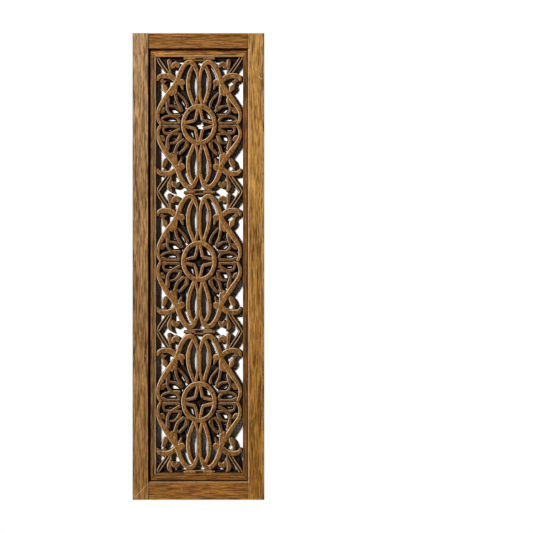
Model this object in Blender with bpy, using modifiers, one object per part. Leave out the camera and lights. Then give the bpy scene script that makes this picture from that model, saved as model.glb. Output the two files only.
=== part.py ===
"""Carved wooden wall panel: a plain frame round a pierced board of three medallions.

X runs across the panel, Y runs into the wall and Z runs up. The origin is the middle of the top
rail's back face, where the panel hangs.
"""

import math

import bmesh
import bpy
from mathutils import Matrix, Vector
from mathutils.geometry import delaunay_2d_cdt

MM = 0.001
GAP = 0.0003
MERGE = 0.00001

# Frame
PANEL_WIDTH = 0.350
PANEL_HEIGHT = 1.240
FRAME_DEPTH = 0.030
LEFT_STILE = 0.0430
RIGHT_STILE = 0.0435
TOP_RAIL = 0.0430
BOTTOM_RAIL = 0.0480
LEFT_SLOPE = 0.0022
RIGHT_SLOPE = 0.0035
BOTTOM_SLOPE = 0.0042
TOP_SLOPE = 0.003
SLOPE_DEPTH = 0.0065
CUTTER_REACH = 0.001
EASED_EDGE = 0.0008
GROOVE_DEPTH = 0.006

# Moulding strips that hold the board in the frame
MOULDING_FRONT = 0.021
MOULDING_BACK = 0.0123
MOULDING_QUIRK = 0.0018
MOULDING_ROUND = 0.002
LEFT_MOULDING = 0.0190
RIGHT_MOULDING = 0.0130
TOP_MOULDING = 0.0188
BOTTOM_MOULDING = 0.0217

# Pierced board: how far its surfaces stand out from the wall
BOARD_BACK = 0.003
RIM_FRONT = 0.012
CARVING_FRONT = 0.020
RIM_SHOWS = 0.0012

# Medallions: centre below the panel's top edge, and stretch up and down
BOARD_AXIS = 0.0014
MEDALLIONS = ((0.2418, 0.96), (0.6066, 1.0), (0.9813, 1.01))
HALF_PITCH = 0.186
# The right half of each medallion is drawn in where its loops slant: heights from the centre between
# which it is, how far, and the distance from the axis where it is drawn in fully, in millimetres
SLANT = (36, 128)
LEAN = 5.2
LEAN_FULL_OUT = 60
RING_OUTER = (0.0475, 0.0547)
RING_INNER = (0.0359, 0.0431)
RING_SIDES = 24
STRAP_BEVELS = 1.4
MITRE_LIMIT = 1.5
ONE_PLANE = math.radians(0.5)
FLAT_FACING = 0.5
HAIR = 0.0008
SNAP = 0.00002
SMALLEST_HOLE = 5e-6
WHOLE_AREA = 0

PANEL_TOP = TOP_RAIL / 2
PANEL_BOTTOM = PANEL_TOP - PANEL_HEIGHT
HALF_WIDTH = PANEL_WIDTH / 2
INNER_LEFT = -HALF_WIDTH + LEFT_STILE
INNER_RIGHT = HALF_WIDTH - RIGHT_STILE
INNER_TOP = PANEL_TOP - TOP_RAIL
INNER_BOTTOM = PANEL_BOTTOM + BOTTOM_RAIL

# Each strap is a run of points in millimetres: out from the medallion's upright axis, up from its
# centre, and the width of the strap's flat top there.
STAR_ARM = ((2.6, 47, 6), (9.6, 11.4, 6.5), (40, 3.6, 6.5))

MIRRORED_STRAPS = {
    "loop": ((10.5, 50, 6), (5.8, 68, 6), (2.7, 82, 6), (2.5, 128, 5.8), (4.6, 144, 6.4), (8.4, 156, 9),
             (14, 167.5, 11), (23, 173.8, 11), (33.5, 170.5, 11), (43.2, 159, 11.5),
             (52.5, 138.5, 12), (62.5, 114, 12), (83.5, 84, 12.5), (101.5, 54.6, 10.5),
             (107.6, 41, 9.2), (110, 28, 8.4), (108.4, 14, 7.5), (101.5, -1, 6)),
    "lens": ((12.5, 167, 7), (18.5, 158, 8), (26.8, 136, 9.2), (28.9, 118, 9.6),
             (28, 99, 9.4), (24.5, 83, 9), (12, 50, 8)),
    "scroll": ((62, 122, 12), (71, 131, 12.5), (82, 135.5, 12.6), (95, 136, 12),
               (105.5, 132.5, 10), (110.5, 126, 7.5), (111, 121.5, 5)),
    "blades": ((112.5, 187, 8.8), (84, 142, 8.4)),
    "curl": ((68.5, 157, 6), (67.5, 165, 11.5), (62.4, 168.6, 12.5), (57.3, 165, 11), (55.6, 159, 6)),
    "behind curl": ((80, 166, 7), (70, 166, 7)),
}
UPPER_LEAVES = {
    "bud cap": ((104, 125, 4), (90, 121, 4.5)),
    "bud": ((99, 131, 6), (97.5, 117, 5), (94.5, 109, 10), (91.3, 101, 13.5), (87.6, 90.5, 3)),
    "upright leaf": ((74.5, 140, 2.5), (78, 162, 8), (79.5, 178, 11), (79.2, 182.5, 9)),
    "side lobe": ((58, 118, 15), (47.5, 118, 18), (41.5, 116.5, 14), (38.6, 115.5, 6)),
    "spike": ((46.5, 113, 9), (43, 98, 4), (41.5, 91, 2)),
    "stem": ((57, 90, 3.5), (44.5, 76.5, 5.5), (33.5, 61, 6.5), (31, 54, 7), (32.5, 48, 7)),
    "root": ((62, 110, 11), (65, 86, 14), (67, 82, 12)),
    "first petal": ((64, 86, 8), (59, 66, 7), (55.5, 58.5, 7.5), (46, 45, 7)),
    "second petal": ((81, 53.5, 6), (72, 51, 5), (64, 50.5, 6), (43, 38.5, 9)),
    "branch": ((88, 68, 8), (80.3, 38, 6.5), (75.5, 30, 6.5), (70, 26.5, 6)),
    "side bud": ((105, 38, 13), (98, 38.5, 13), (88, 47.8, 3)),
    "third petal": ((102, 11, 4), (97, 19, 5.5), (82, 24, 6), (71, 25, 8.5), (49.5, 25.5, 8)),
    "third petal hook": ((70, 23, 6), (58, 18.5, 6.5), (52, 7, 7)),
    "level petal": ((106, 7, 4), (97, 7.5, 9), (88, 4.5, 6), (51, 4, 7)),
}
LOWER_LEAVES = {
    "round bud": ((91, -132, 8), (94.5, -121, 10), (92.6, -109, 13), (89.2, -97, 11.5), (88.5, -93, 6)),
    "upright leaf": ((74.5, -140, 2.5), (78, -160, 8), (80, -168.5, 11), (79.3, -176, 10),
                     (75.8, -182, 6), (72, -186, 3)),
    "side lobe": ((59, -120, 12), (52, -118, 18), (46, -117, 19), (41, -117, 14), (37.8, -117, 6)),
    "spike": ((52.5, -112, 11), (47, -93, 2.5)),
    "level petal": ((103, -3, 6.5), (96, -4, 8), (51, -6, 8)),
    "tie": ((96, -3, 6), (95.3, -21, 6), (98, -31, 7)),
    "third petal": ((95.5, -24.2, 6), (46.5, -27, 6)),
    "branch": ((50.5, -11.5, 7), (67, -20.5, 7), (80.5, -33, 7), (84, -45, 8), (86, -68, 9)),
    "second petal": ((48.5, -28, 7), (51.7, -36.7, 10), (56.3, -44.7, 10.5), (66, -50, 5.5),
                     (78, -51.5, 4)),
    "first petal": ((40, -41, 7), (54, -52.5, 8), (59.2, -60, 8), (69, -86, 9)),
    "root": ((62, -110, 11), (65, -87, 14), (67, -82, 12)),
    "side bud": ((105, -35, 12), (98, -37, 13), (92, -46, 3)),
    "hook": ((42, -45, 3.5), (36.5, -44, 5), (32.5, -46, 8), (30.5, -59, 7)),
    "cross twig": ((28.5, -58, 5), (32.5, -64, 7), (46, -70.5, 5), (62, -80, 6)),
}

# Collar between two medallions: out from the axis, up from the joint, width, in millimetres
COLLAR_SIDES = (((43, -1.5, 4.5), (39, -1.8, 6), (30, -1.8, 6)), ((34, 0, 19), (11.5, 0, 19)))
COLLAR_FILLETS = (((15, 4.5, 2.6), (-15, 4.5, 2.6)), ((15, -6.8, 2.6), (-15, -6.8, 2.6)))


def clear_scene():
    """Remove every object that the file opened with."""
    for item in list(bpy.data.objects):
        bpy.data.objects.remove(item, do_unlink=True)


def new_collection(name):
    """Add a collection to the scene."""
    collection = bpy.data.collections.new(name)
    bpy.context.scene.collection.children.link(collection)
    return collection


def wood(name, colour, roughness):
    """Return a plain wood material."""
    material = bpy.data.materials.new(name)
    material.use_nodes = True
    shader = material.node_tree.nodes["Principled BSDF"]
    shader.inputs["Base Color"].default_value = (*colour, 1.0)
    shader.inputs["Roughness"].default_value = roughness
    shader.inputs["Metallic"].default_value = 0.0
    return material


def mesh_object(name, mesh, collection):
    """Wrap a mesh in an object, in a collection."""
    item = bpy.data.objects.new(name, mesh)
    collection.objects.link(item)
    return item


def give_material(item, material):
    """Make one material the object's only one."""
    item.data.materials.clear()
    item.data.materials.append(material)


def evaluated_mesh(item):
    """Return a new mesh with the object's modifiers or curve settings applied."""
    graph = bpy.context.evaluated_depsgraph_get()
    graph.update()
    return bpy.data.meshes.new_from_object(item.evaluated_get(graph), depsgraph=graph)


def prism(outlines, back, front, collection, name="prism"):
    """Stand flat outlines of (x, z) points up as one solid between two distances from the wall."""
    curve = bpy.data.curves.new("outline", "CURVE")
    curve.dimensions = "2D"
    curve.fill_mode = "BOTH"
    curve.extrude = (front - back) / 2
    for points in outlines:
        spline = curve.splines.new("POLY")
        spline.points.add(len(points) - 1)
        for place, (x, z) in zip(spline.points, points):
            place.co = (x, z, 0, 1)
        spline.use_cyclic_u = True
    flat = bpy.data.objects.new("outline", curve)
    flat.matrix_world = Matrix.Translation((0, -(front + back) / 2, 0)) @ Matrix.Rotation(
        math.radians(90), 4, "X")
    collection.objects.link(flat)
    mesh = evaluated_mesh(flat)
    solid = mesh_object(name, mesh, collection)
    weld(mesh)
    mesh.transform(flat.matrix_world)
    bpy.data.objects.remove(flat, do_unlink=True)
    return solid


def weld(mesh):
    """Close the seams round the caps and point all faces outwards."""
    work = bmesh.new()
    work.from_mesh(mesh)
    bmesh.ops.remove_doubles(work, verts=work.verts, dist=MERGE)
    bmesh.ops.recalc_face_normals(work, faces=work.faces)
    work.to_mesh(mesh)
    work.free()


def strap_outline(path, stretch=1.0):
    """Offset a run of (out, up, top width) millimetres to both sides, with mitred bends."""
    points = [Vector((out, up * stretch)) * MM for out, up, _ in path]
    last = len(points) - 1
    near, far = [], []
    for index, point in enumerate(points):
        before = (point - points[index - 1]).normalized() if index else None
        after = (points[index + 1] - point).normalized() if index < last else None
        along = ((before or after) + (after or before)).normalized()
        mitre = min(1 / max(along.dot(after or before), 1 / MITRE_LIMIT), MITRE_LIMIT)
        width = (path[index][2] + STRAP_BEVELS) * MM
        across = Vector((-along.y, along.x)) * width / 2 * mitre
        near.append(tuple(point + across))
        far.append(tuple(point - across))
    return near + far[::-1]


def flipped(path):
    """Turn a run of points upside down."""
    return tuple((out, -up, width) for out, up, width in path)


def leaned(path):
    """Draw a run of points inward, most where the loops slant."""
    drawn = []
    for out, up, width in path:
        if SLANT[0] < abs(up) < SLANT[1]:
            share = math.sin(math.pi * (abs(up) - SLANT[0]) / (SLANT[1] - SLANT[0]))
            out -= LEAN * share * min(1.0, out / LEAN_FULL_OUT)
        drawn.append((out, up, width))
    return tuple(drawn)


def ellipse(half_width, half_height):
    """Return points round an ellipse about the medallion's centre."""
    step = 2 * math.pi / RING_SIDES
    return [(half_width * math.cos(step * side), half_height * math.sin(step * side))
            for side in range(RING_SIDES)]


def boolean(item, operation, others):
    """Combine an object with a collection of others, and keep the result as its mesh."""
    modifier = item.modifiers.new("combine", "BOOLEAN")
    modifier.operation = operation
    modifier.operand_type = "COLLECTION"
    modifier.collection = others
    modifier.solver = "EXACT"
    item.data = evaluated_mesh(item)
    item.modifiers.clear()


def empty_collection(collection):
    """Remove a scratch collection with all that is in it."""
    for item in list(collection.objects):
        bpy.data.objects.remove(item, do_unlink=True)
    bpy.data.collections.remove(collection)


def join_flat_faces(mesh):
    """Join the faces that lie in one plane."""
    work = bmesh.new()
    work.from_mesh(mesh)
    bmesh.ops.remove_doubles(work, verts=work.verts, dist=MERGE)
    bmesh.ops.dissolve_limit(work, angle_limit=ONE_PLANE, verts=work.verts, edges=work.edges)
    work.to_mesh(mesh)
    work.free()


def area(outline):
    """Return the area inside an outline, below zero where it runs clockwise."""
    pairs = zip([outline[-1], *outline], outline)
    return sum(first[0] * second[1] - second[0] * first[1] for first, second in pairs) / 2


def cut_into_triangles(shapes):
    """Lay flat shapes over one another and cut them into triangles that know their shapes."""
    points, faces = [], []
    for shape in shapes:
        faces.append(list(range(len(points), len(points) + len(shape))))
        points += [Vector(point) for point in (shape if area(shape) > 0 else shape[::-1])]
    places, _, triangles, _, _, sources = delaunay_2d_cdt(points, [], faces, WHOLE_AREA, SNAP)
    return places, list(zip(triangles, sources))


def turn(places, run, choice):
    """Return how far an outline turns left at its last corner on the way to the next."""
    if len(run) < 2:
        return 0.0
    before = places[run[-1]] - places[run[-2]]
    after = places[choice] - places[run[-1]]
    return before.angle_signed(after)


def joined_outlines(shapes):
    """Trace the outlines of the area that flat shapes cover, with the covered side on the left."""
    places, triangles = cut_into_triangles(shapes)
    sides = {(corner, triangle[index - 2]) for triangle, source in triangles if source
             for index, corner in enumerate(triangle)}
    following = {}
    for first, second in sides:
        if (second, first) not in sides:
            following.setdefault(first, []).append(second)
    outlines = []
    while following:
        start = next(iter(following))
        run = [start]
        while True:
            choices = following[run[-1]]
            choices.sort(key=lambda choice: turn(places, run, choice))
            step = choices.pop()
            if not choices:
                del following[run[-1]]
            if step == start:
                break
            run.append(step)
        outlines.append([tuple(places[corner]) for corner in run])
    return outlines


def thinned(run):
    """Drop the points of an open run that stand less than a hair off its straight lines."""
    first, last = Vector(run[0]), Vector(run[-1])
    along = (last - first).normalized()
    offsets = [(Vector(point) - first) - along * (Vector(point) - first).dot(along)
               for point in run]
    worst = max(range(len(run)), key=lambda index: offsets[index].length)
    if offsets[worst].length < HAIR:
        return [run[0], run[-1]]
    return thinned(run[:worst + 1])[:-1] + thinned(run[worst:])


def thinned_outline(outline):
    """Thin a closed outline from its lowest point round to its highest and back."""
    low = min(range(len(outline)), key=lambda index: outline[index][1])
    turned = outline[low:] + outline[:low + 1]
    high = max(range(len(turned)), key=lambda index: turned[index][1])
    return thinned(turned[:high + 1])[:-1] + thinned(turned[high:])[:-1]


def straps_of_half():
    """Yield each strap right of a medallion's axis."""
    for path in MIRRORED_STRAPS.values():
        yield path
        yield flipped(path)
    yield from UPPER_LEAVES.values()
    yield from LOWER_LEAVES.values()


def clipped(outline, left, right, bottom, top):
    """Cut an outline back to an upright rectangle."""
    for axis, limit, sign in ((0, left, 1), (0, right, -1), (1, bottom, 1), (1, top, -1)):
        kept = []
        for index, point in enumerate(outline):
            previous = outline[index - 1]
            inside = (point[axis] - limit) * sign >= 0
            if inside != ((previous[axis] - limit) * sign >= 0):
                part = (limit - previous[axis]) / (point[axis] - previous[axis])
                kept.append(tuple(Vector(previous).lerp(Vector(point), part)))
            if inside:
                kept.append(point)
        outline = kept
    return outline


def rectangle(left, right, bottom, top):
    """Return the corners of an upright rectangle."""
    return [(left, bottom), (right, bottom), (right, top), (left, top)]


def board_opening(inset):
    """Return the left, right, bottom and top of the opening that the moulding strips leave."""
    return (INNER_LEFT + LEFT_MOULDING + inset, INNER_RIGHT - RIGHT_MOULDING - inset,
            INNER_BOTTOM + BOTTOM_MOULDING + inset, INNER_TOP - TOP_MOULDING - inset)


def placed(outline, height):
    """Stand an outline on the board's axis at a height, cut back to the opening."""
    return clipped([(x + BOARD_AXIS, z + height) for x, z in outline], *board_opening(GAP))


def medallion(height, stretch):
    """Return the flat shapes of a medallion's ring, star and straps."""
    outer, inner = ellipse(*RING_OUTER), ellipse(*RING_INNER)
    shapes = [placed([outer[side - 1], outer[side], inner[side], inner[side - 1]], height)
              for side in range(RING_SIDES)]
    for side in (1, -1):
        for path in straps_of_half():
            outline = strap_outline(leaned(path) if side > 0 else path, stretch)
            outline = [(side * x, z) for x, z in outline]
            shapes.append(placed(outline, height))
        for arm in (STAR_ARM, flipped(STAR_ARM)):
            outline = [(side * x, z) for x, z in strap_outline(arm)]
            shapes.append(placed(outline, height))
    return shapes


def collar(height):
    """Return the flat shapes of the bars that tie two medallions together at their joint."""
    shapes = [placed(strap_outline(path), height) for path in COLLAR_FILLETS]
    for side in (1, -1):
        for path in COLLAR_SIDES:
            shapes.append(placed([(side * x, z) for x, z in strap_outline(path)], height))
    return shapes


def tracery_outlines():
    """Return the outlines of the carving: three medallions and the collars between them."""
    shapes = []
    for below, stretch in MEDALLIONS:
        height = PANEL_TOP - below
        shapes += medallion(height, stretch)
        shapes += collar(height - HALF_PITCH * stretch)
    below, stretch = MEDALLIONS[0]
    shapes += collar(PANEL_TOP - below + HALF_PITCH * stretch)
    outlines = joined_outlines([shape for shape in shapes if shape])
    return [thinned_outline(outline) for outline in outlines if abs(area(outline)) > SMALLEST_HOLE]


def raise_faces(work, faces, rise):
    """Pull a copy of a patch of faces out from the wall, with walls between the two."""
    pulled = bmesh.ops.extrude_face_region(work, geom=faces, use_keep_orig=True)["geom"]
    verts = [item for item in pulled if isinstance(item, bmesh.types.BMVert)]
    bmesh.ops.translate(work, verts=verts, vec=(0, -rise, 0))
    return [item for item in pulled if isinstance(item, bmesh.types.BMFace)]


def carved_panel(collection, material):
    """Make the pierced board with its carving and the lower rim that runs into the frame."""
    tracery = tracery_outlines()
    hidden = GROOVE_DEPTH - GAP
    left, right, bottom, top = board_opening(RIM_SHOWS)
    far_left, far_right = INNER_LEFT - hidden, INNER_RIGHT + hidden
    low, high = INNER_BOTTOM - hidden, INNER_TOP + hidden
    rim = [rectangle(far_left, left, low, high), rectangle(right, far_right, low, high),
           rectangle(left, right, low, bottom), rectangle(left, right, top, high)]
    places, triangles = cut_into_triangles(tracery + rim)
    work = bmesh.new()
    verts = [work.verts.new((x, -BOARD_BACK, z)) for x, z in places]
    for triangle, source in triangles:
        carved = sum(shape < len(tracery) for shape in source) % 2
        if carved or any(shape >= len(tracery) for shape in source):
            work.faces.new([verts[corner] for corner in triangle]).material_index = carved
    bmesh.ops.delete(work, geom=[vert for vert in work.verts if not vert.link_faces])
    flat = raise_faces(work, work.faces[:], RIM_FRONT - BOARD_BACK)
    carved = [face for face in flat if face.material_index]
    raise_faces(work, carved, CARVING_FRONT - RIM_FRONT)
    bmesh.ops.delete(work, geom=carved, context="FACES")
    for face in work.faces:
        face.material_index = 0
    bmesh.ops.recalc_face_normals(work, faces=work.faces)
    seams = [edge for edge in work.edges if edge.calc_face_angle() < ONE_PLANE
             and all(abs(face.normal.y) < FLAT_FACING for face in edge.link_faces)
             and edge.verts[0].co.y == edge.verts[1].co.y]
    bmesh.ops.dissolve_edges(work, edges=seams, use_verts=True)
    mesh = bpy.data.meshes.new("carved_panel")
    work.to_mesh(mesh)
    work.free()
    give_material(mesh_object("carved_panel", mesh, collection), material)


def frustum(front, back, near, far, cutters):
    """Make a cutter that tapers from one rectangle at the front to another further back."""
    solid = bmesh.new()
    bmesh.ops.create_cube(solid, size=2)
    for vert in solid.verts:
        left, right, bottom, top = front if vert.co.y < 0 else back
        vert.co = (right if vert.co.x > 0 else left, near if vert.co.y < 0 else far,
                   top if vert.co.z > 0 else bottom)
    mesh = bpy.data.meshes.new("frustum")
    solid.to_mesh(mesh)
    solid.free()
    return mesh_object("frustum", mesh, cutters)


def frame_member(name, corners, collection, material):
    """Make a stile or rail, with the opening's sloped arris and the board's groove cut in it."""
    item = prism([rectangle(*corners)], 0, FRAME_DEPTH, collection, name)
    edges = item.modifiers.new("eased edges", "BEVEL")
    edges.width = EASED_EDGE
    edges.segments = 1
    item.data = evaluated_mesh(item)
    item.modifiers.clear()
    cutters = new_collection("frame cutters")
    inner = (INNER_LEFT, INNER_RIGHT, INNER_BOTTOM, INNER_TOP)
    spread = (-LEFT_SLOPE, RIGHT_SLOPE, -BOTTOM_SLOPE, TOP_SLOPE)
    reach = 1 + CUTTER_REACH / SLOPE_DEPTH
    wide = tuple(edge + move * reach for edge, move in zip(inner, spread))
    frustum(wide, inner, -FRAME_DEPTH - CUTTER_REACH, SLOPE_DEPTH - FRAME_DEPTH, cutters)
    groove = (INNER_LEFT - GROOVE_DEPTH, INNER_RIGHT + GROOVE_DEPTH,
              INNER_BOTTOM - GROOVE_DEPTH, INNER_TOP + GROOVE_DEPTH)
    prism([rectangle(*groove)], BOARD_BACK - GAP, RIM_FRONT + GAP, cutters)
    boolean(item, "DIFFERENCE", cutters)
    empty_collection(cutters)
    join_flat_faces(item.data)
    give_material(item, material)


def frame(collection, material):
    """Make the two stiles, which run the whole height, and the rails between them."""
    rail_ends = (INNER_LEFT + GAP, INNER_RIGHT - GAP)
    frame_member("left_stile", (-HALF_WIDTH, INNER_LEFT, PANEL_BOTTOM, PANEL_TOP),
                 collection, material)
    frame_member("right_stile", (INNER_RIGHT, HALF_WIDTH, PANEL_BOTTOM, PANEL_TOP),
                 collection, material)
    frame_member("top_rail", (*rail_ends, INNER_TOP, PANEL_TOP), collection, material)
    frame_member("bottom_rail", (*rail_ends, PANEL_BOTTOM, INNER_BOTTOM), collection, material)


def moulding_profile():
    """Return the strip's section: part of the way in from the frame, and out from the wall."""
    front = MOULDING_FRONT
    return [(0.0, MOULDING_BACK), (0.0, front - MOULDING_QUIRK), (0.06, front - MOULDING_QUIRK / 2),
            (0.18, front), (0.70, front), (0.88, front - MOULDING_ROUND / 3),
            (0.97, front - MOULDING_ROUND), (1.0, front - 2 * MOULDING_ROUND),
            (1.0, MOULDING_BACK)]


def moulding(name, outer, inner, collection, material):
    """Run the section from one mitred corner to the next, between two (x, z) lines."""
    strip = prism([moulding_profile()], 0, 1, collection, name)
    (first_outer, last_outer), (first_inner, last_inner) = outer, inner
    for vert in strip.data.vertices:
        inward, out, end = vert.co.x, vert.co.z, vert.co.y < -0.5
        start = Vector(last_outer if end else first_outer)
        place = start.lerp(Vector(last_inner if end else first_inner), inward)
        vert.co = (place.x, -out, place.y)
    weld(strip.data)
    give_material(strip, material)


def mouldings(collection, material):
    """Make the four mitred strips round the board's opening."""
    left, right, bottom, top = INNER_LEFT + GAP, INNER_RIGHT - GAP, INNER_BOTTOM + GAP, INNER_TOP - GAP
    in_left, in_right, in_bottom, in_top = board_opening(0)
    moulding("left_moulding", ((left, bottom + GAP), (left, top - GAP)),
             ((in_left, in_bottom + GAP), (in_left, in_top - GAP)), collection, material)
    moulding("right_moulding", ((right, top - GAP), (right, bottom + GAP)),
             ((in_right, in_top - GAP), (in_right, in_bottom + GAP)), collection, material)
    moulding("top_moulding", ((left + GAP, top), (right - GAP, top)),
             ((in_left + GAP, in_top), (in_right - GAP, in_top)), collection, material)
    moulding("bottom_moulding", ((right - GAP, bottom), (left + GAP, bottom)),
             ((in_right - GAP, in_bottom), (in_left + GAP, in_bottom)), collection, material)


def main():
    """Build the panel."""
    clear_scene()
    panel = new_collection("carved_wall_panel")
    frame(panel, wood("frame wood", (0.25, 0.13, 0.05), 0.5))
    mouldings(panel, wood("moulding wood", (0.19, 0.10, 0.04), 0.5))
    carved_panel(panel, wood("carved wood", (0.22, 0.11, 0.04), 0.6))


main()
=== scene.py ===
"""Carved wall panel: the hand-cut board, its mouldings, old wood finishes, stage and camera."""

import math

import bmesh
import bpy
from bpy.props import FloatProperty, FloatVectorProperty, PointerProperty
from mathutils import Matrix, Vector, noise


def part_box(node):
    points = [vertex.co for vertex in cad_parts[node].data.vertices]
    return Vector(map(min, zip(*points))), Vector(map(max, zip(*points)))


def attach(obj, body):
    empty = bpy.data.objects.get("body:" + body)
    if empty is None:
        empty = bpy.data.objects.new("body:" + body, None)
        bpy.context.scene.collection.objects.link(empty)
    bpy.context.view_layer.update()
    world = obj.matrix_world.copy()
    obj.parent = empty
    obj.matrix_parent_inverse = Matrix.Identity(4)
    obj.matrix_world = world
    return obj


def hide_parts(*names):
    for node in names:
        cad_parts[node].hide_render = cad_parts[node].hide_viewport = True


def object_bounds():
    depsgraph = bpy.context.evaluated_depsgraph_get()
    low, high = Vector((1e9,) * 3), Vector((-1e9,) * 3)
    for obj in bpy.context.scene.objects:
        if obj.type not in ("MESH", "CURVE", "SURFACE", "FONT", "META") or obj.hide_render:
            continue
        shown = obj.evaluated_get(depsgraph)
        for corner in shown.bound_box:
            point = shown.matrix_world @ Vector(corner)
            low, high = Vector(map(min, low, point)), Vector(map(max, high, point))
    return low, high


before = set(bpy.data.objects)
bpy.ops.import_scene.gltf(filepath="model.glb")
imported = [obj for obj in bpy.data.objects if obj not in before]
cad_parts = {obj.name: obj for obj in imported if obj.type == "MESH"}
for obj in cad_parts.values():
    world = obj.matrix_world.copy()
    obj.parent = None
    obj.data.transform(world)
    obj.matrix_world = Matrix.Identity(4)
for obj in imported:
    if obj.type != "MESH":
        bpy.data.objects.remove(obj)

bl_info = {
    "name": "Carved wall panel",
    "version": (1, 0, 0),
    "blender": (4, 5, 0),
    "location": "3D View > Sidebar > Wall panel",
    "description": "Carves the pierced board, runs the mouldings and finishes the wood",
    "category": "Add Mesh",
}

MM = 0.001
SOLIDS_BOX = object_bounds()
PANEL_LOW, PANEL_HIGH = Vector(SOLIDS_BOX[0]), Vector(SOLIDS_BOX[1])
BOARD_LOW, BOARD_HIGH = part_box("carved_panel")
# How far in front of the wall the carved board's back lies
BACK = -BOARD_HIGH.y

# How a frame board's sloped inner arris is coloured: its painted highlight share, lightening the
# slopes that face the light, its painted shade share, darkening the slopes in shade, and how wide the
# board's other arrises are rubbed
FRAME_WEAR_AND_PAINTED_LIGHT = {
    "left_stile": (0.0, 0.9, 0.0009),
    "right_stile": (0.30, 0.0, 0.0014),
    "top_rail": (0.0, 0.8, 0.0012),
    "bottom_rail": (0.20, 0.0, 0.0014),
}
# Stain at a rail's two joints: its strength and how far it reaches from the joint
JOINT_STAIN, JOINT_REACH = 0.9, 0.0016
# Scratches on the stiles: start, turn about Y in degrees, and length, depth and half width
SCRATCHES = {
    "left_stile": ((-0.1328, 0, PANEL_HIGH.z - 1.1948), 132.7, (0.0528, 1, 0.0005)),
    "right_stile": ((0.1606, 0, PANEL_HIGH.z - 0.1147), 45.0, (0.0110, 1, 0.0008)),
}
# Painted light: tints of a stile's top and of its foot, making the top lighter and paler and the foot
# darker, as the main light falls more on the top
STILE_PAINTED_LIGHT = ((1.11, 1.24, 1.42), (0.86, 0.80, 0.58))
# How much each moulding strip is rubbed along its inner edge
MOULDINGS = {"left_moulding": 1.0, "right_moulding": 0.0, "top_moulding": 0.4, "bottom_moulding": 0.0}

# Each medallion's centre below the panel's top edge, and its stretch up and down
MEDALLIONS = ((0.2418, 0.96), (0.6066, 1.0), (0.9813, 1.01))
# The medallions' upright axis, right of the panel's middle
BOARD_AXIS = 0.0014
# From a medallion's centre to its joint with the next one, in millimetres and before its stretch
HALF_PITCH = 186
# The right half of each medallion is drawn in between these heights above and below its centre,
# by LEAN at most, and by less where it is nearer the axis than LEAN_FULL_OUT, in millimetres
SLANT = (36, 128)
LEAN = 5.2
LEAN_FULL_OUT = 60
# The ring: its middle line's radii out and up, its width and its top in millimetres, and its cuts
RING_RADII = (41.7, 48.9)
RING_WIDTH = 10.4
RING_TOP = 19.8
RING_CUTS = 28
# The board's low rim: its front, how much of it shows inside the moulding strips before the
# clearance is taken off, and that clearance, which also parts the strips at their mitres
RIM_FRONT = 0.012
RIM_SHOWS = 0.0012
CLEARANCE = 0.0003
# How much the rim's front is rubbed, and how much stain is left on it
RIM_FINISH = (0.1, 0.6)

# Sections across a strap: place across (0 middle, 1 edge), how far below the strap's top in
# millimetres, how much the finish is rubbed off, which on edges facing the light is also painted
# highlight, and how much stain is left there, which on the low ground is painted shade
BAR = ((1.0, 3.2, 0.5, 0.4), (0.94, 2.2, 1.45, 0.05), (0.74, 0.4, 1.4, 0.0), (0.67, 0.1, 0.1, 0.0),
       (0.4, 0.0, 0.0, 0.0), (0.0, 0.0, 0.0, 0.0))
LEAF_EDGE = ((1.0, 3.2, 0.3, 0.5), (0.93, 2.0, 1.4, 0.1), (0.76, 0.5, 1.4, 0.1))
SECTIONS = {
    "ring": BAR,
    "arm": BAR,
    "band": BAR,
    "leaf": (*LEAF_EDGE, (0.68, 0.2, 0.1, 0.25), (0.35, 0.0, 0.0, 0.28), (0.0, 0.0, 0.0, 0.28)),
    "petal": (*LEAF_EDGE, (0.68, 0.2, 0.1, 0.4), (0.35, 0.0, 0.0, 0.42), (0.0, 0.0, 0.0, 0.42)),
    # Painted shade: the ground section is stained near black, standing in for the shade in the openings
    "ground": ((1.0, 2.0, 0.0, 1.0), (0.0, 0.0, 0.0, 0.9)),
    "blade": ((1.0, 3.2, 0.3, 0.5), (0.92, 1.6, 0.9, 0.1), (0.62, 0.3, 1.0, 0.1), (0.0, 0.0, 0.7, 0.15)),
}
# Section of a moulding strip: part of the way in from the frame, how far below the strip's front in
# millimetres, rubbed share and stained share
MOULDING_SECTION = (
    (0.0, 8.7, 0.0, 1.0), (0.0, 3.2, 0.0, 1.0), (0.03, 1.9, 0.0, 1.0), (0.09, 0.9, 0.0, 0.75),
    (0.15, 0.25, 0.0, 0.45), (0.21, 0.0, 0.0, 0.12), (0.42, 0.05, 0.0, 0.0), (0.62, 0.0, 0.0, 0.0),
    (0.66, 0.25, 0.0, 0.25), (0.69, 0.7, 0.0, 0.7), (0.72, 0.25, 0.0, 0.25), (0.76, 0.0, 0.05, 0.0),
    (0.86, 0.2, 0.4, 0.0), (0.92, 0.9, 1.0, 0.0), (0.97, 2.0, 0.9, 0.0), (1.0, 3.8, 0.1, 0.5),
    (1.0, 5.5, 0.0, 0.9), (1.0, 8.7, 0.0, 1.0))
# Length of a moulding strip between two sections
STRIP_CUT = 0.012
# A strip is uneven only above this drop, changes over this span, and differs from line to line
STRIP_UNEVEN_DROP, STRIP_SPAN, STRIP_SEED = 5, 0.03, 3
# How much wider a strap is at its edge than drawn, and at its back than at its edge, in millimetres
BEVEL_WIDTH = {"ring": 2, "arm": 2, "band": 2, "leaf": 1.8, "petal": 1, "ground": 1, "blade": 0.4}
BACK_WIDTH = {"ring": 6, "arm": 12, "band": 3, "leaf": 2.4, "petal": 9, "ground": 3, "blade": 1.2}
# How far below its top a strap's side turns outward to its back, in millimetres
SIDE_DROP = 5.0
# Lowest place of a strap's side above its back
SIDE_CLEARANCE = 0.0002
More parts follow.
